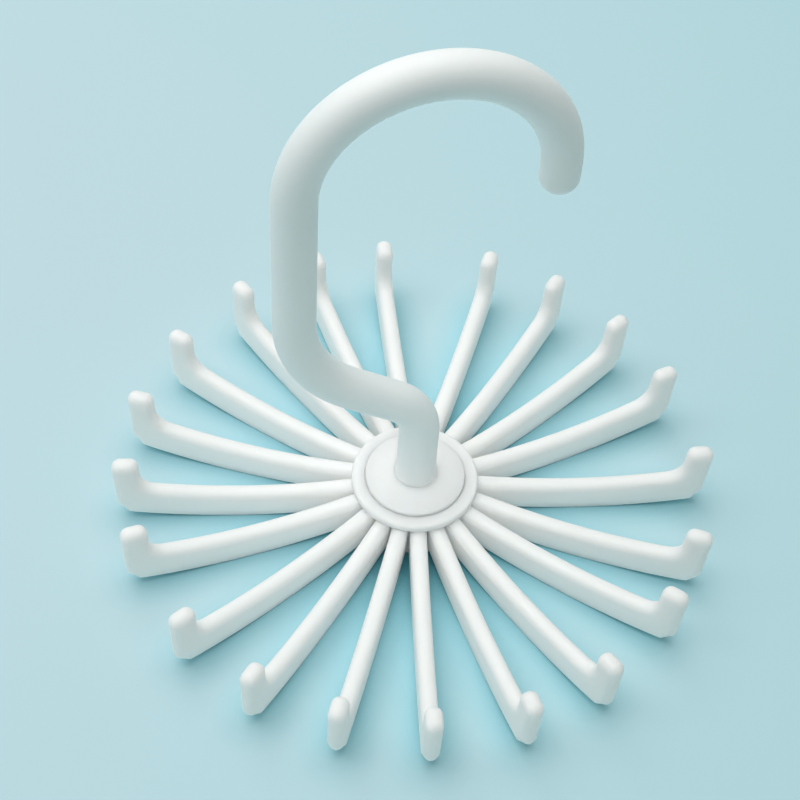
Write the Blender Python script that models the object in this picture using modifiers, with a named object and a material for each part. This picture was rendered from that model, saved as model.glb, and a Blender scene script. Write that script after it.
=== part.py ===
"""Rotating closet hook: twenty upturned arms round a hub that swivels under a bent rod hook.

Metres, +Z up. The origin is on the swivel axis, in the plane of the base cap's flat underside, and
the rod is bent in the XZ plane. Run it with Blender 4.5, or from Blender's text editor.
"""

import math

import bmesh
import bpy
from mathutils import Matrix

# Fits and cuts
CLEARANCE = 0.0003
RUNNING_CLEARANCE = 0.00015
CUT_OVERRUN = 0.002
WELD_DISTANCE = 0.000001

# Arms: a flat bar that sags between its ends, deepens outwards and turns up into a leaning post
ARM_COUNT = 20
ARM_WIDTH = 0.0044
ARM_HEIGHT = 0.0086
ARM_TIP_EXTRA = 0.0013
ARM_SAG = 0.0028
ARM_REACH = 0.078
ARM_GAP = 0.00044
ARM_EDGE_SHARE = 0.42
ARM_UNDER_EDGE_SHARE = 0.4
ARM_UNDER_EDGE_POWER = 4
POST_THICKNESS = 0.0068
POST_HEIGHT = 0.0216
POST_LEAN = 0.0006
POST_CORNER_EXTRA = 0.0004
ELBOW_RADIUS = 0.0045
HEEL_RADIUS = 0.0038

# Arm roots, each held in its own slot of the hub core
TONGUE_INNER_RADIUS = 0.011
TONGUE_INSET = 0.0004
TONGUE_BITE = 0.0015
SLOT_WEB = 0.0006
FOOT_LENGTH = 0.0016
FOOT_DROP = 0.001
SEAT_SHARE = 0.45
FIRST_SEAT_DEGREES = 7.2
# How far each arm leans sideways in its slot, from +X round by +Y
LEAN_DEGREES = (
    3.7, 1.7, 0.2, -2.9, 3.3, 0.0, -0.1, 0.7, 0.4, -0.7,
    -2.8, 1.1, 0.9, -0.2, -1.2, -1.0, -2.0, 0.6, -3.2, -0.1,
)

# Hub cap and core
FLANGE_OVERHANG = 0.0012
FLANGE_THICKNESS = 0.002
FLANGE_EDGE_RADIUS = 0.0009
CAP_FLOOR = 0.001
COLLAR_WALL = 0.0023
COLLAR_LENGTH = 0.0036
RECESS_DEPTH = 0.0037
RECESS_WALL = 0.0021

# Base cap
BASE_THICKNESS = 0.0008
BASE_EDGE_RADIUS = 0.0003
PLUG_WALL = 0.001
PLUG_HEIGHT = 0.0023

# Swivel disc, washer and screw
DISC_MARGIN = 0.0032
DISC_RISE = 0.0012
DISC_CROWN = 0.0012
DISC_EDGE_RADIUS = 0.0006
SPIGOT_RADIUS = 0.0035
WASHER_RADIUS = 0.0064
WASHER_THICKNESS = 0.0008
SCREW_RADIUS = 0.00175
SCREW_LENGTH = 0.009
SCREW_HEAD_RADIUS = 0.0032
SCREW_HEAD_HEIGHT = 0.0016
SCREW_HEAD_EDGE_RADIUS = 0.0008
CROSS_SLOT_WIDTH = 0.0008
CROSS_SLOT_LENGTH = 0.0036
CROSS_SLOT_DEPTH = 0.0009

# Rod hook, along its centreline from the foot to the tip
STEM_RADIUS = 0.00515
TIP_RADIUS = 0.00465
TIP_TAPER_LENGTH = 0.03
TIP_DOME_SHARE = 0.85
FOOT_EDGE_RADIUS = 0.0003
STEM_LENGTH = 0.0171
STEM_BEND_RADIUS = 0.0165
OFFSET_SLOPE_DEGREES = 34.9
LEG_BEND_RADIUS = 0.033
LEG_OFFSET = 0.0325
LEG_LENGTH = 0.0391
ARCH_RADIUS = 0.02975
TIP_LENGTH = 0.0039

# Facets
TURNED_STEPS = 48
SMALL_STEPS = 24
ROD_BEVEL_RESOLUTION = 8
ARC_STEP_DEGREES = 30.0
BEND_STEP_DEGREES = 11.0
SAG_STEPS = 6
CROWN_STEPS = 4
EDGE_SEGMENTS = 2
SHARP_DEGREES = 40.0

# Sizes that follow from the ones above
HUB_RADIUS = ARM_COUNT * (ARM_WIDTH + ARM_GAP) / (2 * math.pi)
ARM_EDGE_RADIUS = ARM_EDGE_SHARE * ARM_WIDTH
POST_CORNER_RADIUS = ARM_EDGE_RADIUS + POST_CORNER_EXTRA
BLADE_START = HUB_RADIUS + CLEARANCE
SEAT_RADIUS = TONGUE_INNER_RADIUS + SEAT_SHARE * (HUB_RADIUS - TONGUE_INNER_RADIUS)
TONGUE_WIDTH = 2 * math.pi * TONGUE_INNER_RADIUS / ARM_COUNT - SLOT_WEB - 2 * CLEARANCE
TONGUE_BOTTOM = ARM_SAG + TONGUE_INSET
TONGUE_TOP = ARM_SAG + ARM_HEIGHT - TONGUE_INSET
CORE_BOTTOM = BASE_THICKNESS + CLEARANCE
CORE_TOP = ARM_SAG + ARM_HEIGHT
CAP_BOTTOM = CORE_TOP + CLEARANCE
CAP_TOP = CAP_BOTTOM + FLANGE_THICKNESS
FLANGE_RADIUS = HUB_RADIUS + FLANGE_OVERHANG
DISC_RADIUS = FLANGE_RADIUS - DISC_MARGIN - CLEARANCE
DISC_BOTTOM = CAP_BOTTOM + CAP_FLOOR + CLEARANCE
DISC_RIM_TOP = CAP_TOP + DISC_RISE
DISC_TOP = DISC_RIM_TOP + DISC_CROWN
BORE_RADIUS = SPIGOT_RADIUS + RUNNING_CLEARANCE
COLLAR_RADIUS = BORE_RADIUS + COLLAR_WALL
COLLAR_BOTTOM = CAP_BOTTOM - COLLAR_LENGTH
RECESS_TOP = CORE_BOTTOM + RECESS_DEPTH
RECESS_RADIUS = TONGUE_INNER_RADIUS - CLEARANCE - RECESS_WALL
PLUG_RADIUS = RECESS_RADIUS - CLEARANCE
BASE_RADIUS = HUB_RADIUS
FOOT_HEIGHT = DISC_TOP + CLEARANCE
SPIGOT_BOTTOM = RECESS_TOP - RUNNING_CLEARANCE
WASHER_TOP = SPIGOT_BOTTOM - CLEARANCE
SCREW_HEAD_TOP = WASHER_TOP - WASHER_THICKNESS - CLEARANCE


def clear_scene():
    for obj in list(bpy.data.objects):
        bpy.data.objects.remove(obj, do_unlink=True)


def new_collection(name):
    collection = bpy.data.collections.new(name)
    bpy.context.scene.collection.children.link(collection)
    return collection


def new_material(name, color, roughness, metallic=0.0):
    material = bpy.data.materials.new(name)
    material.use_nodes = True
    shader = material.node_tree.nodes["Principled BSDF"]
    shader.inputs["Base Color"].default_value = (*color, 1.0)
    shader.inputs["Roughness"].default_value = roughness
    shader.inputs["Metallic"].default_value = metallic
    return material


def finish_piece(obj, material, parent):
    """Gives a piece its material, its smooth shading and its parent."""
    obj.data.materials.clear()
    obj.data.materials.append(material)
    obj.data.shade_smooth()
    obj.data.set_sharp_from_angle(angle=math.radians(SHARP_DEGREES))
    obj.parent = parent
    return obj


def hide_cutter(obj):
    obj.hide_render = True
    obj.display_type = "WIRE"
    return obj


def polar(radius, angle):
    return radius * math.cos(angle), radius * math.sin(angle)


def rounded(corners, closed=True):
    """Points of an outline whose corners, each (x, y, radius), are rounded to that radius."""
    points = []
    count = len(corners)
    for index, (x, y, radius) in enumerate(corners):
        inside = closed or 0 < index < count - 1
        if radius == 0 or not inside:
            points.append((x, y))
            continue
        back_x, back_y, _ = corners[index - 1]
        next_x, next_y, _ = corners[(index + 1) % count]
        back_angle = math.atan2(back_y - y, back_x - x)
        next_angle = math.atan2(next_y - y, next_x - x)
        opening = (next_angle - back_angle + math.pi) % (2 * math.pi) - math.pi
        reach = radius / abs(math.sin(opening / 2))
        away_x, away_y = polar(reach, back_angle + opening / 2)
        turn = math.copysign(math.pi - abs(opening), opening)
        steps = max(2, round(abs(math.degrees(turn)) / ARC_STEP_DEGREES))
        start = back_angle + opening / 2 + math.pi + turn / 2
        for step in range(steps + 1):
            arc_x, arc_y = polar(radius, start - turn * step / steps)
            points.append((x + away_x + arc_x, y + away_y + arc_y))
    return points


def flat_outline(name, points, width, collection):
    """A flat piece as a mesh: the outline (x, z) filled and widened evenly on both sides of y = 0."""
    curve = bpy.data.curves.new(name, "CURVE")
    curve.dimensions = "2D"
    curve.fill_mode = "BOTH"
    curve.extrude = width / 2
    spline = curve.splines.new("POLY")
    spline.points.add(len(points) - 1)
    for point, (x, z) in zip(spline.points, points):
        point.co = (x, z, 0, 1)
    spline.use_cyclic_u = True
    outline = bpy.data.objects.new(name + "_outline", curve)
    outline.rotation_euler.x = math.radians(90)
    collection.objects.link(outline)
    return to_mesh_object(name, outline, collection)


def to_mesh_object(name, source, collection):
    """Replaces a curve object by a mesh object with the same place, its loose caps welded on."""
    bpy.context.view_layer.update()
    graph = bpy.context.evaluated_depsgraph_get()
    mesh = bpy.data.meshes.new_from_object(source.evaluated_get(graph))
    shape = bmesh.new()
    shape.from_mesh(mesh)
    bmesh.ops.remove_doubles(shape, verts=shape.verts, dist=WELD_DISTANCE)
    bmesh.ops.dissolve_limit(
        shape, angle_limit=math.radians(1), verts=shape.verts, edges=shape.edges
    )
    bmesh.ops.recalc_face_normals(shape, faces=shape.faces)
    shape.to_mesh(mesh)
    shape.free()
    obj = bpy.data.objects.new(name, mesh)
    obj.matrix_world = source.matrix_world
    collection.objects.link(obj)
    bpy.data.objects.remove(source, do_unlink=True)
    return obj


def evaluated_mesh(name, obj):
    bpy.context.view_layer.update()
    graph = bpy.context.evaluated_depsgraph_get()
    mesh = bpy.data.meshes.new_from_object(obj.evaluated_get(graph))
    mesh.name = name
    mesh.transform(obj.matrix_world)
    return mesh


def turned(name, profile, steps, collection):
    """A turned piece: the profile of (radius, z) points, outer side downwards, swept round Z."""
    mesh = bpy.data.meshes.new(name)
    shape = bmesh.new()
    verts = [shape.verts.new((radius, 0, z)) for radius, z in profile]
    for first, second in zip(verts, verts[1:]):
        shape.edges.new((first, second))
    if profile[0][0] > 0:
        shape.edges.new((verts[-1], verts[0]))
    shape.to_mesh(mesh)
    shape.free()
    obj = bpy.data.objects.new(name, mesh)
    collection.objects.link(obj)
    screw = obj.modifiers.new("turn", "SCREW")
    screw.steps = steps
    screw.render_steps = steps
    screw.use_merge_vertices = True
    screw.merge_threshold = WELD_DISTANCE
    screw.use_smooth_shade = True
    return obj


def cut(obj, cutter, operation="DIFFERENCE"):
    boolean = obj.modifiers.new(cutter.name, "BOOLEAN")
    boolean.operation = operation
    boolean.object = cutter
    boolean.solver = "EXACT"


def cylinder(name, radius, bottom, top, collection):
    mesh = bpy.data.meshes.new(name)
    shape = bmesh.new()
    bmesh.ops.create_cone(
        shape,
        cap_ends=True,
        segments=SMALL_STEPS,
        radius1=radius,
        radius2=radius,
        depth=top - bottom,
        matrix=Matrix.Translation((0, 0, (top + bottom) / 2)),
    )
    shape.to_mesh(mesh)
    shape.free()
    obj = bpy.data.objects.new(name, mesh)
    collection.objects.link(obj)
    return hide_cutter(obj)


def arm_underside(radius):
    """Height of an arm's underside at this distance from the swivel axis."""
    middle = (BLADE_START + ARM_REACH) / 2
    half = (ARM_REACH - BLADE_START) / 2
    return ARM_SAG * ((radius - middle) / half) ** 2


def arm_topside(radius):
    """Height of an arm's top at this distance: the arm is deepest where the post rises from it."""
    along = (radius - BLADE_START) / (ARM_REACH - BLADE_START)
    return arm_underside(radius) + ARM_HEIGHT + ARM_TIP_EXTRA * along**2


def blade_outline():
    post_inner = ARM_REACH - POST_THICKNESS
    corners = []
    for step in range(SAG_STEPS):
        radius = BLADE_START + (ARM_REACH - BLADE_START) * step / SAG_STEPS
        corners.append((radius, arm_underside(radius), 0))
    corners.append((ARM_REACH, arm_underside(ARM_REACH), HEEL_RADIUS))
    corners.append((ARM_REACH + POST_LEAN, POST_HEIGHT, POST_CORNER_RADIUS))
    corners.append((post_inner + POST_LEAN, POST_HEIGHT, POST_CORNER_RADIUS))
    corners.append((post_inner, arm_topside(post_inner), ELBOW_RADIUS))
    for step in range(SAG_STEPS - 1, -1, -1):
        radius = BLADE_START + (post_inner - BLADE_START) * step / SAG_STEPS
        corners.append((radius, arm_topside(radius), 0))
    return [(x - SEAT_RADIUS, z) for x, z in rounded(corners)]


def tongue_outline(margin, outer_radius, top):
    """The root of an arm with its hooked foot, or its slot when there is a margin round it."""
    inner = TONGUE_INNER_RADIUS - margin
    foot_end = TONGUE_INNER_RADIUS + FOOT_LENGTH + margin
    bottom = TONGUE_BOTTOM - margin
    points = (
        (inner, bottom - FOOT_DROP),
        (foot_end, bottom - FOOT_DROP),
        (foot_end, bottom),
        (outer_radius, bottom),
        (outer_radius, top),
        (inner, top),
    )
    return [(x - SEAT_RADIUS, z) for x, z in points]


def weight_side_edges(obj):
    """Marks the long side edges for rounding: fully above and round the heel, less underneath."""
    shape = bmesh.new()
    shape.from_mesh(obj.data)
    weights = shape.edges.layers.float.new("bevel_weight_edge")
    for edge in shape.edges:
        walls = [face for face in edge.link_faces if len(face.verts) == 4]
        if len(walls) != 1:
            continue
        fall = max(0.0, -walls[0].normal.y) ** ARM_UNDER_EDGE_POWER
        edge[weights] = 1.0 - (1.0 - ARM_UNDER_EDGE_SHARE) * fall
    shape.to_mesh(obj.data)
    shape.free()


def make_arm_mesh(cutters):
    """One arm, lying along +X, with its origin at its seat in the hub."""
    blade = flat_outline("arm_blade", blade_outline(), ARM_WIDTH, cutters)
    weight_side_edges(blade)
    edge = blade.modifiers.new("edges", "BEVEL")
    edge.limit_method = "WEIGHT"
    edge.width = ARM_EDGE_RADIUS
    edge.segments = EDGE_SEGMENTS
    edge.use_clamp_overlap = False
    root = tongue_outline(0, BLADE_START + TONGUE_BITE, TONGUE_TOP)
    tongue = flat_outline("arm_tongue", root, TONGUE_WIDTH, cutters)
    cut(blade, tongue, "UNION")
    mesh = evaluated_mesh("arm", blade)
    bpy.data.objects.remove(blade, do_unlink=True)
    bpy.data.objects.remove(tongue, do_unlink=True)
    return mesh


def seat_matrix(index):
    """Where arm number index sits: its seat round the hub, and its lean about that seat."""
    seat = math.radians(FIRST_SEAT_DEGREES) + 2 * math.pi * index / ARM_COUNT
    lean = math.radians(LEAN_DEGREES[index % len(LEAN_DEGREES)])
    x, y = polar(SEAT_RADIUS, seat)
    return Matrix.Translation((x, y, 0)) @ Matrix.Rotation(seat + lean, 4, "Z")


def make_arms(material, parent, parts, cutters):
    mesh = make_arm_mesh(cutters)
    for index in range(ARM_COUNT):
        arm = bpy.data.objects.new(f"arm_{index + 1:02d}", mesh)
        parts.objects.link(arm)
        finish_piece(arm, material, parent)
        arm.matrix_world = seat_matrix(index)


def make_slot_cutter(cutters):
    """All the arm slots as one cutter, a little larger than the roots that they hold."""
    outline = tongue_outline(CLEARANCE, HUB_RADIUS + CUT_OVERRUN, CORE_TOP + CUT_OVERRUN)
    slot = flat_outline("slot", outline, TONGUE_WIDTH + 2 * CLEARANCE, cutters)
    slot_mesh = evaluated_mesh("slot", slot)
    bpy.data.objects.remove(slot, do_unlink=True)
    slots = bmesh.new()
    for index in range(ARM_COUNT):
        placed = slot_mesh.copy()
        placed.transform(seat_matrix(index))
        slots.from_mesh(placed)
        bpy.data.meshes.remove(placed)
    mesh = bpy.data.meshes.new("slots")
    slots.to_mesh(mesh)
    slots.free()
    cutter = bpy.data.objects.new("slots", mesh)
    cutters.objects.link(cutter)
    return hide_cutter(cutter)


def make_hub_core(material, parent, parts, cutters):
    """The slotted drum: collar seat above, screw recess below and the swivel bore between them."""
    seat_radius = COLLAR_RADIUS + CLEARANCE
    seat_bottom = COLLAR_BOTTOM - CLEARANCE
    profile = (
        (seat_radius, CORE_TOP),
        (HUB_RADIUS, CORE_TOP),
        (HUB_RADIUS, CORE_BOTTOM),
        (RECESS_RADIUS, CORE_BOTTOM),
        (RECESS_RADIUS, RECESS_TOP),
        (BORE_RADIUS, RECESS_TOP),
        (BORE_RADIUS, seat_bottom),
        (seat_radius, seat_bottom),
    )
    core = turned("hub_core", profile, TURNED_STEPS, parts)
    cut(core, make_slot_cutter(cutters))
    return finish_piece(core, material, parent)


def make_hub_cap(material, parent, parts):
    """The flange ring over the arm roots, with the disc's recess and the collar that guides the spigot."""
    recess_radius = DISC_RADIUS + CLEARANCE
    recess_bottom = CAP_BOTTOM + CAP_FLOOR
    profile = rounded(
        (
            (recess_radius, CAP_TOP, 0),
            (FLANGE_RADIUS, CAP_TOP, FLANGE_EDGE_RADIUS),
            (FLANGE_RADIUS, CAP_BOTTOM, FLANGE_EDGE_RADIUS),
            (COLLAR_RADIUS, CAP_BOTTOM, 0),
            (COLLAR_RADIUS, COLLAR_BOTTOM, 0),
            (BORE_RADIUS, COLLAR_BOTTOM, 0),
            (BORE_RADIUS, recess_bottom, 0),
            (recess_radius, recess_bottom, 0),
        )
    )
    cap = turned("hub_cap", profile, TURNED_STEPS, parts)
    return finish_piece(cap, material, parent)


def make_base_cap(material, parent, parts):
    """The plate that closes the hub from below, with the plug ring that centres it."""
    plug_top = BASE_THICKNESS + CLEARANCE + PLUG_HEIGHT
    profile = rounded(
        (
            (0, BASE_THICKNESS, 0),
            (PLUG_RADIUS - PLUG_WALL, BASE_THICKNESS, 0),
            (PLUG_RADIUS - PLUG_WALL, plug_top, 0),
            (PLUG_RADIUS, plug_top, 0),
            (PLUG_RADIUS, BASE_THICKNESS, 0),
            (BASE_RADIUS, BASE_THICKNESS, BASE_EDGE_RADIUS),
            (BASE_RADIUS, 0, BASE_EDGE_RADIUS),
            (0, 0, 0),
        ),
        closed=False,
    )
    cap = turned("base_cap", profile, TURNED_STEPS, parts)
    return finish_piece(cap, material, parent)


def make_swivel_disc(material, parent, parts):
    """The disc that turns with the hook: flat under the rod's foot, then crowned down to its rim."""
    hole_radius = SPIGOT_RADIUS + CLEARANCE
    corners = [(hole_radius, DISC_TOP, 0)]
    for step in range(CROWN_STEPS):
        share = step / CROWN_STEPS
        radius = STEM_RADIUS + (DISC_RADIUS - STEM_RADIUS) * share
        corners.append((radius, DISC_TOP - DISC_CROWN * share**2, 0))
    corners.append((DISC_RADIUS, DISC_RIM_TOP, DISC_EDGE_RADIUS))
    corners.append((DISC_RADIUS, DISC_BOTTOM, DISC_EDGE_RADIUS))
    corners.append((hole_radius, DISC_BOTTOM, 0))
    profile = rounded(corners)
    disc = turned("swivel_disc", profile, TURNED_STEPS, parts)
    return finish_piece(disc, material, parent)


def make_washer(material, parent, parts):
    hole_radius = SCREW_RADIUS + CLEARANCE
    bottom = WASHER_TOP - WASHER_THICKNESS
    profile = (
        (hole_radius, WASHER_TOP),
        (WASHER_RADIUS, WASHER_TOP),
        (WASHER_RADIUS, bottom),
        (hole_radius, bottom),
    )
    washer = turned("retaining_washer", profile, SMALL_STEPS, parts)
    return finish_piece(washer, material, parent)


def make_screw(material, parent, parts, cutters):
    """The screw up the spigot's end, its head downwards with a cross recess."""
    head_bottom = SCREW_HEAD_TOP - SCREW_HEAD_HEIGHT
    profile = rounded(
        (
            (0, SCREW_HEAD_TOP + SCREW_LENGTH, 0),
            (SCREW_RADIUS, SCREW_HEAD_TOP + SCREW_LENGTH, 0),
            (SCREW_RADIUS, SCREW_HEAD_TOP, 0),
            (SCREW_HEAD_RADIUS, SCREW_HEAD_TOP, 0),
            (SCREW_HEAD_RADIUS, head_bottom, SCREW_HEAD_EDGE_RADIUS),
            (0, head_bottom, 0),
        ),
        closed=False,
    )
    screw = turned("retaining_screw", profile, SMALL_STEPS, parts)
    for name, turn in (("cross_slot_a", 0), ("cross_slot_b", 90)):
        mesh = bpy.data.meshes.new(name)
        shape = bmesh.new()
        bmesh.ops.create_cube(shape, size=1)
        bmesh.ops.scale(
            shape,
            vec=(CROSS_SLOT_LENGTH, CROSS_SLOT_WIDTH, 2 * CROSS_SLOT_DEPTH),
            verts=shape.verts,
        )
        shape.to_mesh(mesh)
        shape.free()
        slot = bpy.data.objects.new(name, mesh)
        slot.location.z = head_bottom
        slot.rotation_euler.z = math.radians(turn)
        cutters.objects.link(slot)
        cut(screw, hide_cutter(slot))
    return finish_piece(screw, material, parent)


def bend(centre, radius, start_degrees, end_degrees):
    """Points on an arc of the rod's centreline, after its first one."""
    sweep = end_degrees - start_degrees
    steps = max(2, round(abs(sweep) / BEND_STEP_DEGREES))
    points = []
    for step in range(1, steps + 1):
        x, z = polar(radius, math.radians(start_degrees + sweep * step / steps))
        points.append((centre[0] + x, centre[1] + z))
    return points


def rod_centreline():
    """The rod from its foot: stem, bend to the offset run, bend to the leg, arch and tip."""
    slope = math.radians(OFFSET_SLOPE_DEGREES)
    stem_top = FOOT_HEIGHT + STEM_LENGTH
    points = [(0, FOOT_HEIGHT), (0, stem_top)]
    points += bend((-STEM_BEND_RADIUS, stem_top), STEM_BEND_RADIUS, 0, 90 - OFFSET_SLOPE_DEGREES)
    x, z = points[-1]
    leg_bend_width = LEG_BEND_RADIUS * (1 - math.sin(slope))
    run = (LEG_OFFSET - leg_bend_width + x) / math.cos(slope)
    x, z = x - run * math.cos(slope), z + run * math.sin(slope)
    points.append((x, z))
    centre = (-LEG_OFFSET + LEG_BEND_RADIUS, z + LEG_BEND_RADIUS * math.cos(slope))
    points += bend(centre, LEG_BEND_RADIUS, 270 - OFFSET_SLOPE_DEGREES, 180)
    arch_centre = (-LEG_OFFSET + ARCH_RADIUS, centre[1] + LEG_LENGTH)
    points.append((-LEG_OFFSET, arch_centre[1]))
    points += bend(arch_centre, ARCH_RADIUS, 180, 0)
    x, z = points[-1]
    points.append((x, z - TIP_LENGTH))
    return points


def rod_stations():
    """(x, z, radius) along the rod: it tapers to its tip, and both ends are rounded."""
    line = rod_centreline()
    lengths = [0]
    for first, second in zip(line, line[1:]):
        lengths.append(lengths[-1] + math.dist(first, second))
    stations = []
    for (x, z), length in zip(line, lengths):
        taper = max(0.0, 1 - (lengths[-1] - length) / TIP_TAPER_LENGTH)
        radius = STEM_RADIUS + (TIP_RADIUS - STEM_RADIUS) * taper
        stations.append((x, z, radius))
    quarter = [math.radians(turn) for turn in (0, 30, 60)]
    foot = []
    for turn in quarter:
        rise = FOOT_EDGE_RADIUS * (1 - math.cos(turn))
        inset = FOOT_EDGE_RADIUS * (1 - math.sin(turn))
        foot.append((0, FOOT_HEIGHT + rise, STEM_RADIUS - inset))
    foot.append((0, FOOT_HEIGHT + FOOT_EDGE_RADIUS, STEM_RADIUS))
    tip_x, tip_z, tip_radius = stations[-1]
    dome = []
    for turn in (math.radians(angle) for angle in (22, 44, 64, 80)):
        drop = TIP_DOME_SHARE * tip_radius * math.sin(turn)
        dome.append((tip_x, tip_z - drop, tip_radius * math.cos(turn)))
    return foot + stations[1:] + dome


def make_hook(material, parent, parts, cutters):
    """The rod hook with the spigot under its foot, which turns in the hub and takes the screw."""
    curve = bpy.data.curves.new("hook_rod", "CURVE")
    curve.dimensions = "3D"
    curve.bevel_depth = STEM_RADIUS
    curve.bevel_resolution = ROD_BEVEL_RESOLUTION
    curve.use_fill_caps = True
    stations = rod_stations()
    spline = curve.splines.new("POLY")
    spline.points.add(len(stations) - 1)
    for point, (x, z, radius) in zip(spline.points, stations):
        point.co = (x, 0, z, 1)
        point.radius = radius / STEM_RADIUS
    rod = bpy.data.objects.new("rod_curve", curve)
    parts.objects.link(rod)
    hook = to_mesh_object("hook_rod", rod, parts)
    spigot_top = FOOT_HEIGHT + STEM_LENGTH / 2
    spigot = cylinder("spigot", SPIGOT_RADIUS, SPIGOT_BOTTOM, spigot_top, cutters)
    cut(hook, spigot, "UNION")
    hole_top = SCREW_HEAD_TOP + SCREW_LENGTH + CLEARANCE
    hole_radius = SCREW_RADIUS + CLEARANCE
    hole = cylinder("screw_hole", hole_radius, SPIGOT_BOTTOM - CUT_OVERRUN, hole_top, cutters)
    cut(hook, hole)
    return finish_piece(hook, material, parent)


def new_empty(name, collection):
    empty = bpy.data.objects.new(name, None)
    collection.objects.link(empty)
    return empty


def main():
    clear_scene()
    parts = new_collection("rotating_closet_hook")
    cutters = new_collection("cutters")
    white = new_material("white_plastic", (0.86, 0.87, 0.86), 0.38)
    hook_white = new_material("hook_plastic", (0.84, 0.85, 0.83), 0.34)
    disc_white = new_material("disc_plastic", (0.86, 0.87, 0.86), 0.32)
    steel = new_material("zinc_steel", (0.62, 0.62, 0.60), 0.35, 1.0)
    carousel = new_empty("carousel", parts)
    swivel = new_empty("hook_swivel", parts)
    make_base_cap(white, carousel, parts)
    make_hub_core(white, carousel, parts, cutters)
    make_hub_cap(white, carousel, parts)
    make_arms(white, carousel, parts, cutters)
    make_hook(hook_white, swivel, parts, cutters)
    make_swivel_disc(disc_white, swivel, parts)
    make_washer(steel, swivel, parts)
    make_screw(steel, swivel, parts, cutters)


main()
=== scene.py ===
"""Looks of the rotating closet hook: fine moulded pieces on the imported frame, floor, light and camera.

Metres, +Z up, in the CAD model's frame: the origin is on the swivel axis, in the plane of the base
cap's underside, and the rod is bent in the XZ plane.
"""

import math

import bmesh
import bpy
from mathutils import Matrix, Vector


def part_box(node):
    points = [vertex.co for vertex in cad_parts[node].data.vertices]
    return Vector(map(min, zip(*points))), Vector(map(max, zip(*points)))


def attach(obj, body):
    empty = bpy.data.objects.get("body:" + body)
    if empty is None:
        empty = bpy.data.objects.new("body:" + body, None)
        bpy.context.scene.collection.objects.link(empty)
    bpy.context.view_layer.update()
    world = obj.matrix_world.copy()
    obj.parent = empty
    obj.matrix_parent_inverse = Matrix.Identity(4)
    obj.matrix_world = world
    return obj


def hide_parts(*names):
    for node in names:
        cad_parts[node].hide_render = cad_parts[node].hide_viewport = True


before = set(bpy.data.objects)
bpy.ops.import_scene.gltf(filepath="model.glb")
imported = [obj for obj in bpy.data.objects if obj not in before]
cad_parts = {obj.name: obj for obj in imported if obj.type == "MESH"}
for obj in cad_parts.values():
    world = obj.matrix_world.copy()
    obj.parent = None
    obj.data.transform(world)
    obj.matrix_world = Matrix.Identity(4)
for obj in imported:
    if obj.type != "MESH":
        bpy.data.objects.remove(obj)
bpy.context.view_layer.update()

# Camera, fitted to the photograph
CAMERA_PLACE = (-0.0895, -0.2567, 0.3845)
CAMERA_TURN_DEGREES = (38.573, -2.723, -14.67)
CAMERA_LENS = 78.772
CAMERA_CLIP_START = 0.01

# Arms, as in the CAD model
ARM_COUNT = 20
ARM_WIDTH = 0.0044
ARM_HEIGHT = 0.0086
ARM_TIP_EXTRA = 0.0013
ARM_SAG = 0.0028
ARM_REACH = 0.078
POST_THICKNESS = 0.0068
POST_HEIGHT = 0.0216
POST_LEAN = 0.0006
POST_CORNER_RADIUS = 0.0023
ELBOW_RADIUS = 0.0045
HEEL_RADIUS = 0.0038
HEEL_CLEARANCE = 1.1
SEAT_RADIUS = 0.01298
FIRST_SEAT_DEGREES = 7.2
LEAN_DEGREES = (
    3.7, 1.7, 0.2, -2.9, 3.3, 0.0, -0.1, 0.7, 0.4, -0.7,
    -2.8, 1.1, 0.9, -0.2, -1.2, -1.0, -2.0, 0.6, -3.2, -0.1,
)

# Arm roots, inside the hub
TONGUE_INNER_RADIUS = 0.011
TONGUE_WIDTH = 0.00226
TONGUE_INSET = 0.0004
FOOT_LENGTH = 0.0016
FOOT_DROP = 0.001
ROOT_OVERLAP = 0.0003

# How the arms' edges are rounded: depth of the rounding and squareness of its curve
UPPER_EDGE_DEPTH = 0.0021
UPPER_EDGE_POWER = 2.2
UNDER_EDGE_DEPTH = 0.0004
UNDER_EDGE_POWER = 4.0
UNDER_EDGE_FROM = 0.6
HEEL_EDGE_DEPTH = 0.0032
HEEL_EDGE_POWER = 1.8

# Hub cap, swivel disc and base cap
FLANGE_THICKNESS = 0.00225
FLANGE_EDGE_RADIUS = 0.0008
FLANGE_FOOT_RADIUS = 0.00025
CAP_FLOOR = 0.00125
COLLAR_WALL = 0.0023
DISC_CROWN = 0.0016
DISC_GAP = 0.00007
DISC_EDGE_RADIUS = 0.0006
RIM_LIP_RADIUS = 0.00012
HOLE_MARGIN = 0.0003
BASE_THICKNESS = 0.0008
BASE_EDGE_RADIUS = 0.0003
PLUG_RADIUS = 0.0083
PLUG_WALL = 0.001
GATE_RADIUS = 0.0011
GATE_DEPTH = 0.00025
BASE_GROOVE_RADIUS = 0.0062
BASE_GROOVE_WIDTH = 0.0006

# Rod hook
STEM_RADIUS = 0.00515
TIP_RADIUS = 0.00465
TIP_TAPER_LENGTH = 0.03
TIP_DOME_SHARE = 0.85
SPIGOT_RADIUS = 0.0035
SCREW_HOLE_RADIUS = 0.00205
SCREW_HOLE_DEPTH = 0.0089
FOOT_FLARE = 0.0004
FOOT_HEIGHT = 0.0164
STEM_LENGTH = 0.0171
STEM_BEND_RADIUS = 0.0165
OFFSET_SLOPE_DEGREES = 34.9
LEG_BEND_RADIUS = 0.033
LEG_OFFSET = 0.0325
LEG_LENGTH = 0.0391
ARCH_RADIUS = 0.02975
TIP_LENGTH = 0.0039

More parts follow.
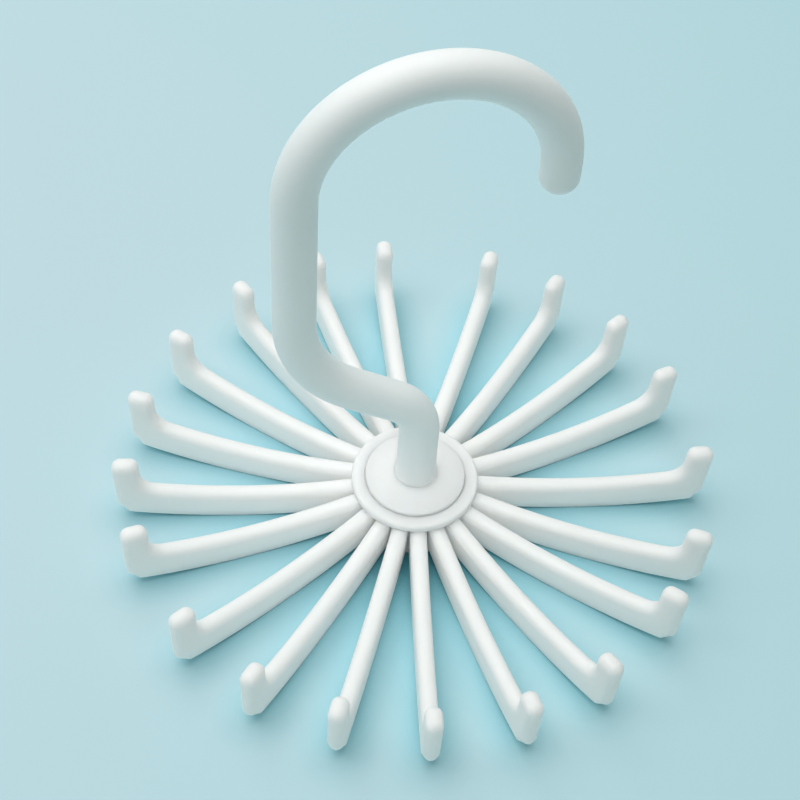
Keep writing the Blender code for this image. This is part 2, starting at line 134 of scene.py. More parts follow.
# Fineness of the meshes
SAG_STEPS = 30
ARC_STEP_DEGREES = 7.5
EDGE_LEVELS = 18
TURNED_STEPS = 160
ROD_STEPS = 56
BEND_STEP_DEGREES = 2.0
STRAIGHT_STEP = 0.002
ROD_SOFTENING = 5
DOME_STEPS = 12
CROWN_STEPS = 10
SHARP_DEGREES = 35.0
MERGE_DISTANCE = 0.000001

# Sizes read from the frame
HUB_RADIUS = max(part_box("hub_core")[1].x, -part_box("hub_core")[0].x)
FLANGE_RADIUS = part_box("hub_cap")[1].x
CAP_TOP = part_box("hub_cap")[1].z
COLLAR_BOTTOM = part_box("hub_cap")[0].z
DISC_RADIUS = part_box("swivel_disc")[1].x
DISC_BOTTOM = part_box("swivel_disc")[0].z
DISC_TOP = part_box("swivel_disc")[1].z
BASE_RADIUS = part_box("base_cap")[1].x
PLUG_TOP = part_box("base_cap")[1].z
SPIGOT_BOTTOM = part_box("hook_rod")[0].z
CAP_BOTTOM = CAP_TOP - FLANGE_THICKNESS
BLADE_START = HUB_RADIUS - ROOT_OVERLAP
SAG_START = HUB_RADIUS + ROOT_OVERLAP

# Plastics: the two tones of their mottling, how much light spreads inside them and how far
ARM_TINT = (0.922, 0.932, 0.934)
ARM_SHADE = (0.908, 0.919, 0.921)
ARM_GLOW = 1.0
ARM_GLOW_DEPTH = 0.005
HUB_TINT = (0.972, 0.972, 0.97)
HUB_SHADE = (0.963, 0.963, 0.961)
HUB_GLOW = 1.0
HUB_GLOW_DEPTH = 0.004
HOOK_TINT = (0.89, 0.925, 0.935)
HOOK_SHADE = (0.875, 0.91, 0.92)
HOOK_GLOW = 0.4
HOOK_GLOW_DEPTH = 0.0015
GLOW_RADIUS = (1.0, 0.95, 0.9)
PLASTIC_IOR = 1.46
PLASTIC_ROUGHNESS = 0.5
ROUGHNESS_DROP = 0.04
ROUGHNESS_RISE = 0.05
POLISH_SIZE = 0.005
MOTTLE_SIZE = 0.014
MOTTLE_RANGE = (0.35, 0.65)
WAVE_SIZE = 0.009
WAVE_DEPTH = 0.00004
WAVE_STRENGTH = 0.8
GRAIN_SIZE = 0.00035
GRAIN_DEPTH = 0.000008
GRAIN_STRENGTH = 0.7

# Painted light: plastic painted paler inside recesses, as far as this reach from other surfaces
RECESS_PAINTED_LIGHT = (1.0, 1.0, 0.985)
RECESS_PAINTED_LIGHT_REACH = 0.008

# Zinc-plated steel
STEEL_TINT = (0.66, 0.66, 0.63)
STEEL_SHADE = (0.5, 0.51, 0.5)
STEEL_CLOUD_SIZE = 0.0015
STEEL_ROUGHNESS = (0.28, 0.42)
STREAK_SCALE = 700.0
STREAK_DISTORTION = 1.5
STREAK_DETAIL = 2.0
STREAK_DEPTH = 0.00001
STREAK_STRENGTH = 0.5

# The values that noise mostly takes, how far like pieces' patterns lie apart, rays per shaded point
NOISE_RANGE = (0.3, 0.7)
OBJECT_SHIFT = (3.0, 7.0, 5.0)
OPENNESS_SAMPLES = 8

# The Mix node's sockets for colours
MIX_FIRST = 6
MIX_SECOND = 7
MIX_RESULT = 2

# Light
WORLD_TINT = (0.945, 1.0, 0.915)
WORLD_LEVEL = 0.286
BACKGROUND_TINT = (0.51, 0.71, 0.76)
KEY_POWER = 11.6
KEY_SIZE = 1.3
KEY_PLACE = (-0.19, 0.22, 1.06)
KEY_TINT = (1.0, 0.985, 0.975)
SIDE_POWER = 0.68
SIDE_SIZE = 1.0
SIDE_PLACE = (-1.0, 0.05, 0.5)
SIDE_TINT = (1.0, 0.9, 0.95)
FILL_POWER = 2.0
FILL_PLACE = (-0.06, -0.2, 0.33)
FILL_CONE_DEGREES = 13.0
FILL_CONE_BLEND = 1.0
FILL_SOFTNESS = 0.04
FILL_TINT = (0.93, 1.0, 1.0)

# Floor
FLOOR_SIZE = 6.0
FLOOR_CELLS = 8
FLOOR_ROUGHNESS = 0.7
FLOOR_SPECULAR = 0.2
# Painted light on the floor: warmer colour round the lit place, cooler farther away from it
LIT_FLOOR = (0.54, 0.712, 0.78)
FAR_FLOOR = (0.478, 0.742, 0.815)
LIT_PLACE = (-0.13, 0.12, 0.0)
LIT_REACH = 0.36
# Painted shade on the floor: darker and a deeper teal close to things, deepest where they crowd round
PAINTED_SHADE_FLOOR = (0.17, 0.58, 0.69)
DEEPEST_PAINTED_SHADE_FLOOR = (0.01, 0.27, 0.35)
BOUNCE_FLOOR = (0.6, 0.83, 0.88)
DEEPEST_SHADE_OPENNESS = 0.5
PAINTED_SHADE_REACH = 0.01
FLOOR_CLOUD = 0.08
FLOOR_CLOUD_SIZE = 0.12
FADE_START = 0.4
FADE_END = 0.9


def polar(radius, angle):
    return radius * math.cos(angle), radius * math.sin(angle)


def rounded(corners, closed=True):
    """Points of an outline whose corners, each (x, y, radius), are rounded to that radius."""
    points = []
    count = len(corners)
    for index, (x, y, radius) in enumerate(corners):
        inside = closed or 0 < index < count - 1
        if radius == 0 or not inside:
            points.append((x, y))
            continue
        back_x, back_y, _ = corners[index - 1]
        next_x, next_y, _ = corners[(index + 1) % count]
        back_angle = math.atan2(back_y - y, back_x - x)
        next_angle = math.atan2(next_y - y, next_x - x)
        opening = (next_angle - back_angle + math.pi) % (2 * math.pi) - math.pi
        reach = radius / abs(math.sin(opening / 2))
        away_x, away_y = polar(reach, back_angle + opening / 2)
        turn = math.copysign(math.pi - abs(opening), opening)
        steps = max(2, round(abs(math.degrees(turn)) / ARC_STEP_DEGREES))
        start = back_angle + opening / 2 + math.pi + turn / 2
        for step in range(steps + 1):
            arc_x, arc_y = polar(radius, start - turn * step / steps)
            points.append((x + away_x + arc_x, y + away_y + arc_y))
    return points


def smooth_step(value):
    value = min(1.0, max(0.0, value))
    return value * value * (3 - 2 * value)


def mesh_from(name, shape):
    """A mesh from a bmesh, with faces outwards, smooth shading and its sharp edges kept."""
    bmesh.ops.recalc_face_normals(shape, faces=shape.faces)
    mesh = bpy.data.meshes.new(name)
    shape.to_mesh(mesh)
    shape.free()
    mesh.shade_smooth()
    mesh.set_sharp_from_angle(angle=math.radians(SHARP_DEGREES))
    return mesh


def bridge(shape, first, second, closed=True):
    """A strip of quads between two rows of vertices."""
    count = len(first)
    for index in range(count if closed else count - 1):
        after = (index + 1) % count
        shape.faces.new((first[index], first[after], second[after], second[index]))


def arm_underside(radius):
    middle = (SAG_START + ARM_REACH) / 2
    half = (ARM_REACH - SAG_START) / 2
    return ARM_SAG * ((radius - middle) / half) ** 2


def arm_topside(radius):
    along = (radius - SAG_START) / (ARM_REACH - SAG_START)
    return arm_underside(radius) + ARM_HEIGHT + ARM_TIP_EXTRA * along**2


def arm_outline():
    """(x, z) points round an arm: out along its underside, round the post, back along its top."""
    post_inner = ARM_REACH - POST_THICKNESS
    under_end = ARM_REACH - HEEL_CLEARANCE * HEEL_RADIUS
    top_end = post_inner - ELBOW_RADIUS
    corners = []
    for step in range(SAG_STEPS + 1):
        radius = BLADE_START + (under_end - BLADE_START) * step / SAG_STEPS
        corners.append((radius, arm_underside(radius), 0))
    corners.append((ARM_REACH, arm_underside(ARM_REACH), HEEL_RADIUS))
    corners.append((ARM_REACH + POST_LEAN, POST_HEIGHT, POST_CORNER_RADIUS))
    corners.append((post_inner + POST_LEAN, POST_HEIGHT, POST_CORNER_RADIUS))
    corners.append((post_inner, arm_topside(post_inner), ELBOW_RADIUS))
    for step in range(SAG_STEPS, -1, -1):
        radius = BLADE_START + (top_end - BLADE_START) * step / SAG_STEPS
        corners.append((radius, arm_topside(radius), 0))
    return rounded(corners, closed=False)


def outward_normals(points):
    """Unit normals of an open outline that runs with its inside on the left."""
    normals = []
    for index in range(len(points)):
        back_x, back_z = points[max(index - 1, 0)]
        next_x, next_z = points[min(index + 1, len(points) - 1)]
        length = math.hypot(next_x - back_x, next_z - back_z)
        normals.append(((next_z - back_z) / length, (back_x - next_x) / length))
    return normals


def make_arm_mesh():
    """One arm along +X with its seat at the origin: rounded bar, post, and the root with its foot."""
    points = arm_outline()
    normals = outward_normals(points)
    half = ARM_WIDTH / 2
    shape = bmesh.new()
    rows = []
    for level in range(EDGE_LEVELS + 1):
        share = math.sin(math.pi * (level / EDGE_LEVELS - 0.5))
        row = []
        for (x, z), (normal_x, normal_z) in zip(points, normals):
            # 0 to 1 as the surface turns down, and as it turns halfway between out and down
            under = smooth_step((-normal_z - UNDER_EDGE_FROM) / (1 - UNDER_EDGE_FROM))
            heel = 2 * max(0.0, normal_x) * max(0.0, -normal_z)
            depth = UPPER_EDGE_DEPTH + (UNDER_EDGE_DEPTH - UPPER_EDGE_DEPTH) * under
            power = UPPER_EDGE_POWER + (UNDER_EDGE_POWER - UPPER_EDGE_POWER) * under
            depth += (HEEL_EDGE_DEPTH - depth) * heel
            power += (HEEL_EDGE_POWER - power) * heel
            inset = depth * (1 - (1 - abs(share) ** power) ** (1 / power))
            place = (x - SEAT_RADIUS - normal_x * inset, share * half, z - normal_z * inset)
            row.append(shape.verts.new(place))
        rows.append(row)
    for first, second in zip(rows, rows[1:]):
        bridge(shape, first, second, closed=False)
    close_side(shape, rows[0], points, normals)
    close_side(shape, rows[-1], points, normals)
    close_root(shape, rows)
    return mesh_from("arm_moulded", shape)


def close_side(shape, row, points, normals):
    """The flat side of an arm, with a narrow strip inside its border that keeps the side flat to light."""
    strip = UNDER_EDGE_DEPTH / 4
    inner = []
    for vert, (normal_x, normal_z) in zip(row, normals):
        inner.append(shape.verts.new(vert.co - strip * Vector((normal_x, 0, normal_z))))
    bridge(shape, row, inner, closed=False)
    shape.faces.new(inner)
    shape.faces.new((row[0], inner[0], inner[-1], row[-1]))


def close_root(shape, rows):
    """The arm's hidden root: the section steps in to the tongue, which ends in a foot turned down."""
    ring = [row[0] for row in rows] + [row[-1] for row in reversed(rows)]
    bottom = ARM_SAG + TONGUE_INSET
    top = ARM_SAG + ARM_HEIGHT - TONGUE_INSET
    foot_end = TONGUE_INNER_RADIUS + FOOT_LENGTH
    stations = (
        (BLADE_START, bottom),
        (foot_end, bottom),
        (foot_end, bottom - FOOT_DROP),
        (TONGUE_INNER_RADIUS, bottom - FOOT_DROP),
    )
    half = len(ring) // 2
    for x, low in stations:
        row = []
        for index, vert in enumerate(ring):
            height = low if index < half else top
            width = vert.co.y
            if x == BLADE_START:
                width = width / ARM_WIDTH * TONGUE_WIDTH
            row.append(shape.verts.new((x - SEAT_RADIUS, width, height)))
        bridge(shape, ring, row)
        ring = row
    shape.faces.new(ring)


def seat_matrix(index):
    """Where arm number index sits: its seat round the hub, and its lean about that seat."""
    seat = math.radians(FIRST_SEAT_DEGREES) + 2 * math.pi * index / ARM_COUNT
    lean = math.radians(LEAN_DEGREES[index])
    x, y = polar(SEAT_RADIUS, seat)
    return Matrix.Translation((x, y, 0)) @ Matrix.Rotation(seat + lean, 4, "Z")


def turned_mesh(name, profile, closed):
    """A turned piece from a profile of (radius, z) points. A closed profile is a ring's section."""
    shape = bmesh.new()
    rows = []
    for step in range(TURNED_STEPS):
        turn = 2 * math.pi * step / TURNED_STEPS
        row = []
        for radius, z in profile:
            x, y = polar(radius, turn)
            row.append(shape.verts.new((x, y, z)))
        rows.append(row)
    for first, second in zip(rows, rows[1:] + rows[:1]):
        bridge(shape, first, second, closed)
    bmesh.ops.remove_doubles(shape, verts=shape.verts, dist=MERGE_DISTANCE)
    return mesh_from(name, shape)


def hub_cap_profile():
    recess_radius = DISC_RADIUS + DISC_GAP
    bore_radius = SPIGOT_RADIUS + HOLE_MARGIN / 2
    collar_radius = bore_radius + COLLAR_WALL
    recess_bottom = CAP_BOTTOM + CAP_FLOOR
    corners = (
        (recess_radius, CAP_TOP, RIM_LIP_RADIUS),
        (FLANGE_RADIUS, CAP_TOP, FLANGE_EDGE_RADIUS),
        (FLANGE_RADIUS, CAP_BOTTOM, FLANGE_FOOT_RADIUS),
        (collar_radius, CAP_BOTTOM, 0),
        (collar_radius, COLLAR_BOTTOM, 0),
        (bore_radius, COLLAR_BOTTOM, 0),
        (bore_radius, recess_bottom, 0),
        (recess_radius, recess_bottom, 0),
    )
    return rounded(corners)


def disc_profile():
    """The disc: flat under the rod's foot, then crowned down to its rounded rim."""
    hole_radius = SPIGOT_RADIUS + HOLE_MARGIN
    corners = [(hole_radius, DISC_TOP, 0)]
    for step in range(CROWN_STEPS):
        share = step / CROWN_STEPS
        radius = STEM_RADIUS + (DISC_RADIUS - STEM_RADIUS) * share
        corners.append((radius, DISC_TOP - DISC_CROWN * share**2, 0))
    corners.append((DISC_RADIUS, DISC_TOP - DISC_CROWN, DISC_EDGE_RADIUS))
    corners.append((DISC_RADIUS, DISC_BOTTOM, RIM_LIP_RADIUS))
    corners.append((hole_radius, DISC_BOTTOM, 0))
    return rounded(corners)


def base_cap_profile():
    """The base cap with a shallow groove and a sunk gate mark on its underside."""
    groove_inner = BASE_GROOVE_RADIUS - BASE_GROOVE_WIDTH / 2
    groove_outer = BASE_GROOVE_RADIUS + BASE_GROOVE_WIDTH / 2
    corners = (
        (0, BASE_THICKNESS, 0),
        (PLUG_RADIUS - PLUG_WALL, BASE_THICKNESS, 0),
        (PLUG_RADIUS - PLUG_WALL, PLUG_TOP, 0),
        (PLUG_RADIUS, PLUG_TOP, 0),
        (PLUG_RADIUS, BASE_THICKNESS, 0),
        (BASE_RADIUS, BASE_THICKNESS, BASE_EDGE_RADIUS),
        (BASE_RADIUS, 0, BASE_EDGE_RADIUS),
        (groove_outer, 0, 0),
        (BASE_GROOVE_RADIUS, GATE_DEPTH, 0),
        (groove_inner, 0, 0),
        (GATE_RADIUS + GATE_DEPTH, 0, 0),
        (GATE_RADIUS, GATE_DEPTH, 0),
        (0, GATE_DEPTH, 0),
    )
    return rounded(corners, closed=False)


def arc_points(centre, radius, start_degrees, end_degrees):
    sweep = end_degrees - start_degrees
    steps = max(2, round(abs(sweep) / BEND_STEP_DEGREES))
    points = []
    for step in range(1, steps + 1):
        x, z = polar(radius, math.radians(start_degrees + sweep * step / steps))
        points.append((centre[0] + x, centre[1] + z))
    return points


def straight_points(start, end):
    steps = max(1, round(math.dist(start, end) / STRAIGHT_STEP))
    points = []
    for step in range(1, steps + 1):
        share = step / steps
        x = start[0] + (end[0] - start[0]) * share
        z = start[1] + (end[1] - start[1]) * share
        points.append((x, z))
    return points


def rod_centreline():
    """The rod from its foot: stem, bend to the offset run, bend to the leg, arch and tip."""
    slope = math.radians(OFFSET_SLOPE_DEGREES)
    stem_top = FOOT_HEIGHT + STEM_LENGTH
    line = [(0, DISC_TOP)]
    line += straight_points(line[-1], (0, stem_top))
    line += arc_points((-STEM_BEND_RADIUS, stem_top), STEM_BEND_RADIUS, 0, 90 - OFFSET_SLOPE_DEGREES)
    x, z = line[-1]
    leg_bend_width = LEG_BEND_RADIUS * (1 - math.sin(slope))
    run = (LEG_OFFSET - leg_bend_width + x) / math.cos(slope)
    run_end = (x - run * math.cos(slope), z + run * math.sin(slope))
    line += straight_points(line[-1], run_end)
    centre = (-LEG_OFFSET + LEG_BEND_RADIUS, run_end[1] + LEG_BEND_RADIUS * math.cos(slope))
    line += arc_points(centre, LEG_BEND_RADIUS, 270 - OFFSET_SLOPE_DEGREES, 180)
    arch_centre = (-LEG_OFFSET + ARCH_RADIUS, centre[1] + LEG_LENGTH)
    line += straight_points(line[-1], (-LEG_OFFSET, arch_centre[1]))
    line += arc_points(arch_centre, ARCH_RADIUS, 180, 0)
    x, z = line[-1]
    line += straight_points(line[-1], (x, z - TIP_LENGTH))
    return soften(line)


def soften(line):
    """The line with its curvature eased where bends begin and end, both ends kept."""
    for _ in range(ROD_SOFTENING):
        eased = [line[0]]
        for back, here, after in zip(line, line[1:], line[2:]):
            x = (back[0] + 2 * here[0] + after[0]) / 4
            z = (back[1] + 2 * here[1] + after[1]) / 4
            eased.append((x, z))
        line = eased + [line[-1]]
    return line


def rod_stations():
    """(x, z, radius, turn) along the rod, from the screw's hole in the spigot to the rounded tip."""
    hole_top = SPIGOT_BOTTOM + SCREW_HOLE_DEPTH
    up = math.pi / 2
    stations = [
        (0, hole_top, 0, up),
        (0, hole_top, SCREW_HOLE_RADIUS, up),
        (0, SPIGOT_BOTTOM, SCREW_HOLE_RADIUS, up),
        (0, SPIGOT_BOTTOM, SPIGOT_RADIUS, up),
        (0, DISC_TOP - ROOT_OVERLAP, SPIGOT_RADIUS, up),
        (0, DISC_TOP - ROOT_OVERLAP, STEM_RADIUS + FOOT_FLARE, up),
    ]
    for step in range(DOME_STEPS):
        angle = math.pi / 2 * step / DOME_STEPS
        rise = FOOT_FLARE * math.sin(angle)
        spread = FOOT_FLARE * (1 - math.sin(angle))
        stations.append((0, DISC_TOP + rise, STEM_RADIUS + spread, up))
    line = rod_centreline()
    lengths = [0]
    for first, second in zip(line, line[1:]):
        lengths.append(lengths[-1] + math.dist(first, second))
    for index in range(1, len(line)):
        after = line[min(index + 1, len(line) - 1)]
        before = line[index - 1]
        turn = math.atan2(after[1] - before[1], after[0] - before[0])
        taper = smooth_step(1 - (lengths[-1] - lengths[index]) / TIP_TAPER_LENGTH)
        radius = STEM_RADIUS + (TIP_RADIUS - STEM_RADIUS) * taper
        stations.append((*line[index], radius, turn))
    tip_x, tip_z, tip_radius, _ = stations[-1]
    for step in range(1, DOME_STEPS + 1):
        angle = math.pi / 2 * step / DOME_STEPS
        drop = TIP_DOME_SHARE * tip_radius * math.sin(angle)
        stations.append((tip_x, tip_z - drop, tip_radius * math.cos(angle), -up))
    return stations


def make_rod_mesh():
    shape = bmesh.new()
    rows = []
    for x, z, radius, turn in rod_stations():
        row = []
        for step in range(ROD_STEPS):
            across, aside = polar(radius, 2 * math.pi * step / ROD_STEPS)
            place = (x + across * math.sin(turn), aside, z - across * math.cos(turn))
            row.append(shape.verts.new(place))
        rows.append(row)
    for first, second in zip(rows, rows[1:]):
        bridge(shape, first, second)
    bmesh.ops.remove_doubles(shape, verts=shape.verts, dist=MERGE_DISTANCE)
    return mesh_from("hook_rod_moulded", shape)


def new_node(tree, kind, inputs=None, **settings):
    """A shader node with its settings, and its inputs given as values or as another node's output."""
    node = tree.nodes.new(kind)
    for name, value in settings.items():
        setattr(node, name, value)
    for name, value in (inputs or {}).items():
        if isinstance(value, bpy.types.NodeSocket):
            tree.links.new(value, node.inputs[name])
        else:
            node.inputs[name].default_value = value
    return node


def colour(rgb):
    return (*rgb, 1.0)


def new_material(name):
    """An empty node material and its shader."""
    material = bpy.data.materials.new(name)
    material.use_nodes = True
    return material, material.node_tree, material.node_tree.nodes["Principled BSDF"]


def noise(tree, vector, size, detail):
    """Noise whose features are about this size, in metres."""
    inputs = {"Vector": vector, "Scale": 1 / size, "Detail": detail}
    return new_node(tree, "ShaderNodeTexNoise", inputs).outputs["Fac"]


def remap(tree, value, low, high, to_low=0.0, to_high=1.0):
    inputs = {"Value": value, "From Min": low, "From Max": high, "To Min": to_low, "To Max": to_high}
    return new_node(tree, "ShaderNodeMapRange", inputs).outputs["Result"]


def mix_colour(tree, factor, first, second):
    node = new_node(tree, "ShaderNodeMix", data_type="RGBA")
    tree.links.new(factor, node.inputs["Factor"])
    for socket, value in ((node.inputs[MIX_FIRST], first), (node.inputs[MIX_SECOND], second)):
        if isinstance(value, bpy.types.NodeSocket):
            tree.links.new(value, socket)
        else:
            socket.default_value = colour(value)
    return node.outputs[MIX_RESULT]


def own_coordinates(tree):
    """Object coordinates shifted by a random amount on each object, so that like pieces differ."""
    coordinates = new_node(tree, "ShaderNodeTexCoord")
    info = new_node(tree, "ShaderNodeObjectInfo")
    shift = new_node(tree, "ShaderNodeVectorMath", operation="MULTIPLY")
    tree.links.new(info.outputs["Random"], shift.inputs[0])
    shift.inputs[1].default_value = OBJECT_SHIFT
    place = new_node(tree, "ShaderNodeVectorMath", operation="ADD")
    tree.links.new(coordinates.outputs["Object"], place.inputs[0])
    tree.links.new(shift.outputs["Vector"], place.inputs[1])
    return place.outputs["Vector"]


def bump(tree, height, distance, strength, **below):
    inputs = {"Height": height, "Distance": distance, "Strength": strength, **below}
    return new_node(tree, "ShaderNodeBump", inputs).outputs["Normal"]


def plastic(name, tint, shade, glow, glow_depth):
    """White moulded plastic: faint mottling, satin grain, slow waviness and light that spreads inside."""
    material, tree, shader = new_material(name)
    place = own_coordinates(tree)
    mottle = remap(tree, noise(tree, place, MOTTLE_SIZE, detail=4.0), *MOTTLE_RANGE)
    mottled = mix_colour(tree, mottle, tint, shade)
    # Painted light: the colour turns paler where other surfaces are close, in recesses and between parts
    inputs = {"Distance": RECESS_PAINTED_LIGHT_REACH}
    openness = new_node(tree, "ShaderNodeAmbientOcclusion", inputs, samples=OPENNESS_SAMPLES)
    base = mix_colour(tree, openness.outputs["AO"], RECESS_PAINTED_LIGHT, mottled)
    tree.links.new(base, shader.inputs["Base Color"])
    roughness = (PLASTIC_ROUGHNESS - ROUGHNESS_DROP, PLASTIC_ROUGHNESS + ROUGHNESS_RISE)
    gloss = remap(tree, noise(tree, place, POLISH_SIZE, detail=3.0), *NOISE_RANGE, *roughness)
    tree.links.new(gloss, shader.inputs["Roughness"])
    grain = noise(tree, place, GRAIN_SIZE, detail=2.0)
    wave = noise(tree, place, WAVE_SIZE, detail=1.0)
    wavy = bump(tree, wave, WAVE_DEPTH, WAVE_STRENGTH)
    grainy = bump(tree, grain, GRAIN_DEPTH, GRAIN_STRENGTH, Normal=wavy)
    tree.links.new(grainy, shader.inputs["Normal"])
    shader.inputs["IOR"].default_value = PLASTIC_IOR
    shader.inputs["Subsurface Weight"].default_value = glow
    shader.inputs["Subsurface Radius"].default_value = GLOW_RADIUS
    shader.inputs["Subsurface Scale"].default_value = glow_depth
    return material


def zinc_steel():
    """Zinc-plated steel: turned streaks and cloudy plating."""
    material, tree, shader = new_material("zinc_steel")
    place = own_coordinates(tree)
    cloud = remap(tree, noise(tree, place, STEEL_CLOUD_SIZE, detail=4.0), *NOISE_RANGE)
    base = mix_colour(tree, cloud, STEEL_TINT, STEEL_SHADE)
    tree.links.new(base, shader.inputs["Base Color"])
    inputs = {
        "Vector": place,
        "Scale": STREAK_SCALE,
        "Distortion": STREAK_DISTORTION,
        "Detail": STREAK_DETAIL,
    }
    rings = new_node(tree, "ShaderNodeTexWave", inputs, wave_type="RINGS", rings_direction="Z")
    gloss = remap(tree, rings.outputs["Fac"], 0.0, 1.0, *STEEL_ROUGHNESS)
    tree.links.new(gloss, shader.inputs["Roughness"])
    streaks = bump(tree, rings.outputs["Fac"], STREAK_DEPTH, STREAK_STRENGTH)
    tree.links.new(streaks, shader.inputs["Normal"])
    shader.inputs["Metallic"].default_value = 1.0
    return material


def shown_rays(tree):
    """1 for the rays that show a surface, to the camera or in a reflection, and 0 for the rest."""
    path = new_node(tree, "ShaderNodeLightPath")
    shows = path.outputs["Is Camera Ray"]
    for ray in ("Is Glossy Ray", "Is Transmission Ray"):
        either = {0: shows, 1: path.outputs[ray]}
        shows = new_node(tree, "ShaderNodeMath", either, operation="MAXIMUM").outputs["Value"]
    return shows


def floor_material():
    """Matt pale blue board: cloudy, painted light on the lit side, cooler away, painted teal shade near
    things.

    Far from the object it runs into the background, so that no horizon shows.
    """
    material, tree, shader = new_material("floor_board")
    place = new_node(tree, "ShaderNodeTexCoord").outputs["Object"]
    cloud = noise(tree, place, FLOOR_CLOUD_SIZE, detail=2.0)
    drift = remap(tree, cloud, *NOISE_RANGE, -FLOOR_CLOUD, FLOOR_CLOUD)
    # Painted light: the colour runs from the warm lit colour round the lit place to the cooler far colour
    inputs = {0: place, 1: LIT_PLACE}
    distance = new_node(tree, "ShaderNodeVectorMath", inputs, operation="DISTANCE")
    away = remap(tree, distance.outputs["Value"], 0.0, LIT_REACH)
    tone = new_node(tree, "ShaderNodeMath", {0: away, 1: drift}, operation="ADD", use_clamp=True)
    open_floor = mix_colour(tree, tone.outputs["Value"], LIT_FLOOR, FAR_FLOOR)
    # Painted shade: where other things are close, the floor's colour turns a darker, deeper teal
    inputs = {"Distance": PAINTED_SHADE_REACH}
    openness = new_node(tree, "ShaderNodeAmbientOcclusion", inputs, samples=OPENNESS_SAMPLES)
    depth = remap(tree, openness.outputs["AO"], 0.0, DEEPEST_SHADE_OPENNESS)
    shaded = mix_colour(tree, depth, DEEPEST_PAINTED_SHADE_FLOOR, PAINTED_SHADE_FLOOR)
    shown = mix_colour(tree, openness.outputs["AO"], shaded, open_floor)
    shows = shown_rays(tree)
    base = mix_colour(tree, shows, BOUNCE_FLOOR, shown)
    tree.links.new(base, shader.inputs["Base Color"])
    reach = new_node(tree, "ShaderNodeVectorMath", {0: place}, operation="LENGTH")
    far = remap(tree, reach.outputs["Value"], FADE_START, FADE_END)
    fade = new_node(tree, "ShaderNodeMath", {0: far, 1: shows}, operation="MULTIPLY")
    beyond = new_node(tree, "ShaderNodeEmission", {"Color": colour(BACKGROUND_TINT)})
    inputs = {0: fade.outputs["Value"], 1: shader.outputs["BSDF"], 2: beyond.outputs["Emission"]}
    surface = new_node(tree, "ShaderNodeMixShader", inputs).outputs["Shader"]
    tree.links.new(surface, tree.nodes["Material Output"].inputs["Surface"])
    shader.inputs["Roughness"].default_value = FLOOR_ROUGHNESS
    shader.inputs["Specular IOR Level"].default_value = FLOOR_SPECULAR
    return material


def add_piece(name, mesh, material, body, nodes):
    obj = bpy.data.objects.new(name, mesh)
    bpy.context.scene.collection.objects.link(obj)
    if not mesh.materials:
        mesh.materials.append(material)
    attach(obj, body)
    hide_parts(*nodes)
    return obj


def add_arms(material):
    mesh = make_arm_mesh()
    for index in range(ARM_COUNT):
        node = f"arm_{index + 1:02d}"
        arm = add_piece(node + "_moulded", mesh, material, "carousel", [node])
        arm.matrix_world = seat_matrix(index)


def dress_node(name, material):
    """A CAD node that stays gets the scene's material."""
    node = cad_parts[name]
    node.data.materials.clear()
    node.data.materials.append(material)


def add_floor():
    shape = bmesh.new()
    bmesh.ops.create_grid(shape, x_segments=FLOOR_CELLS, y_segments=FLOOR_CELLS, size=FLOOR_SIZE / 2)
    mesh = bpy.data.meshes.new("floor")
    shape.to_mesh(mesh)
    shape.free()
    mesh.materials.append(floor_material())
    floor = bpy.data.objects.new("floor", mesh)
    bpy.context.scene.collection.objects.link(floor)
    return floor


def add_world():
    """Soft even light from all round; the camera and reflections see the pale background."""
    world = bpy.data.worlds.new("studio")
    bpy.context.scene.world = world
    world.use_nodes = True
    tree = world.node_tree
    tree.nodes.clear()
    inputs = {"Color": colour(WORLD_TINT), "Strength": WORLD_LEVEL}
    light = new_node(tree, "ShaderNodeBackground", inputs).outputs["Background"]
    inputs = {"Color": colour(BACKGROUND_TINT), "Strength": 1.0}
    seen = new_node(tree, "ShaderNodeBackground", inputs).outputs["Background"]
    inputs = {0: shown_rays(tree), 1: light, 2: seen}
    mix = new_node(tree, "ShaderNodeMixShader", inputs).outputs["Shader"]
    new_node(tree, "ShaderNodeOutputWorld", {"Surface": mix})


def add_lamp(name, kind, place, power, tint, **settings):
    """A lamp that faces the hub."""
    lamp = bpy.data.lights.new(name, kind)
    lamp.energy = power
    lamp.color = tint
    for setting, value in settings.items():
        setattr(lamp, setting, value)
    obj = bpy.data.objects.new(name, lamp)
    obj.location = place
    obj.rotation_euler = (-Vector(place)).to_track_quat("-Z", "Y").to_euler()
    bpy.context.scene.collection.objects.link(obj)
    return obj


def keep_light_off(lamp, unlit):
    """The lamp lights every object but this one."""
    receivers = bpy.data.collections.new(lamp.name + "_receivers")
    receivers.objects.link(unlit)
    receivers.collection_objects[0].light_linking.link_state = "EXCLUDE"
    lamp.light_linking.receiver_collection = receivers


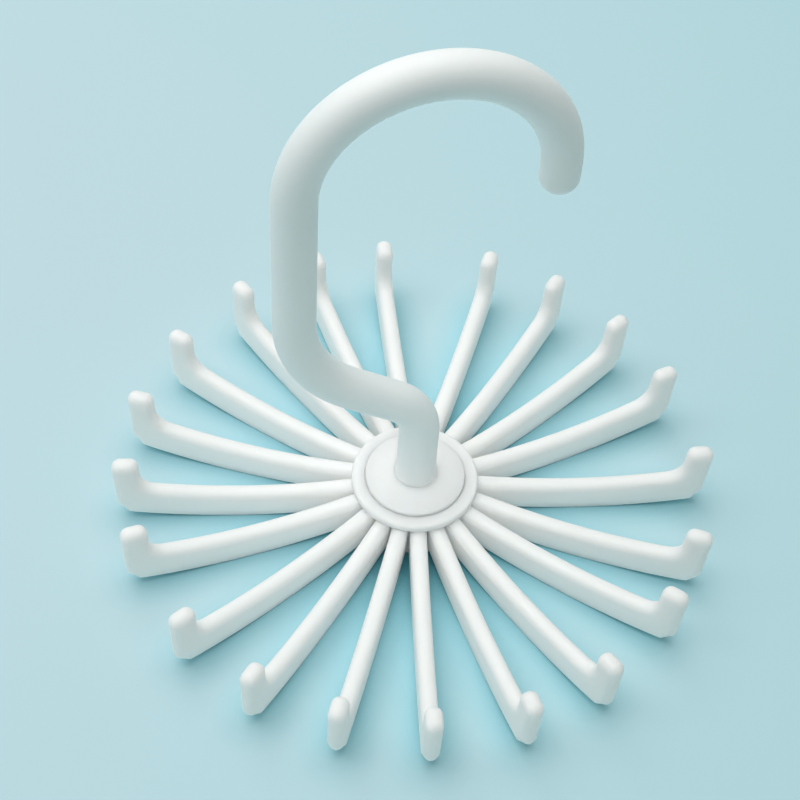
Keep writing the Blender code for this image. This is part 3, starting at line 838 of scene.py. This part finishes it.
def add_camera():
    camera = bpy.data.cameras.new("camera")
    camera.lens = CAMERA_LENS
    camera.clip_start = CAMERA_CLIP_START
    obj = bpy.data.objects.new("camera", camera)
    obj.location = CAMERA_PLACE
    obj.rotation_euler = [math.radians(turn) for turn in CAMERA_TURN_DEGREES]
    bpy.context.scene.collection.objects.link(obj)
    bpy.context.scene.camera = obj


def main():
    arm_plastic = plastic("arm_plastic", ARM_TINT, ARM_SHADE, ARM_GLOW, ARM_GLOW_DEPTH)
    hub_plastic = plastic("hub_plastic", HUB_TINT, HUB_SHADE, HUB_GLOW, HUB_GLOW_DEPTH)
    hook_plastic = plastic("hook_plastic", HOOK_TINT, HOOK_SHADE, HOOK_GLOW, HOOK_GLOW_DEPTH)
    steel = zinc_steel()
    add_arms(arm_plastic)
    cap = turned_mesh("hub_cap_moulded", hub_cap_profile(), closed=True)
    add_piece("hub_cap_moulded", cap, hub_plastic, "carousel", ["hub_cap"])
    disc = turned_mesh("swivel_disc_moulded", disc_profile(), closed=True)
    add_piece("swivel_disc_moulded", disc, hub_plastic, "hook", ["swivel_disc"])
    base = turned_mesh("base_cap_moulded", base_cap_profile(), closed=False)
    add_piece("base_cap_moulded", base, hub_plastic, "carousel", ["base_cap"])
    rod = make_rod_mesh()
    add_piece("hook_rod_moulded", rod, hook_plastic, "hook", ["hook_rod"])
    dress_node("hub_core", hub_plastic)
    dress_node("retaining_washer", steel)
    dress_node("retaining_screw", steel)
    floor = add_floor()
    add_world()
    add_lamp("key", "AREA", KEY_PLACE, KEY_POWER, KEY_TINT, shape="SQUARE", size=KEY_SIZE)
    add_lamp("side", "AREA", SIDE_PLACE, SIDE_POWER, SIDE_TINT, shape="SQUARE", size=SIDE_SIZE)
    cone = {
        "spot_size": math.radians(FILL_CONE_DEGREES),
        "spot_blend": FILL_CONE_BLEND,
        "shadow_soft_size": FILL_SOFTNESS,
    }
    fill = add_lamp("fill", "SPOT", FILL_PLACE, FILL_POWER, FILL_TINT, **cone)
    keep_light_off(fill, floor)
    add_camera()
    bpy.context.scene.view_settings.view_transform = "Standard"


main()
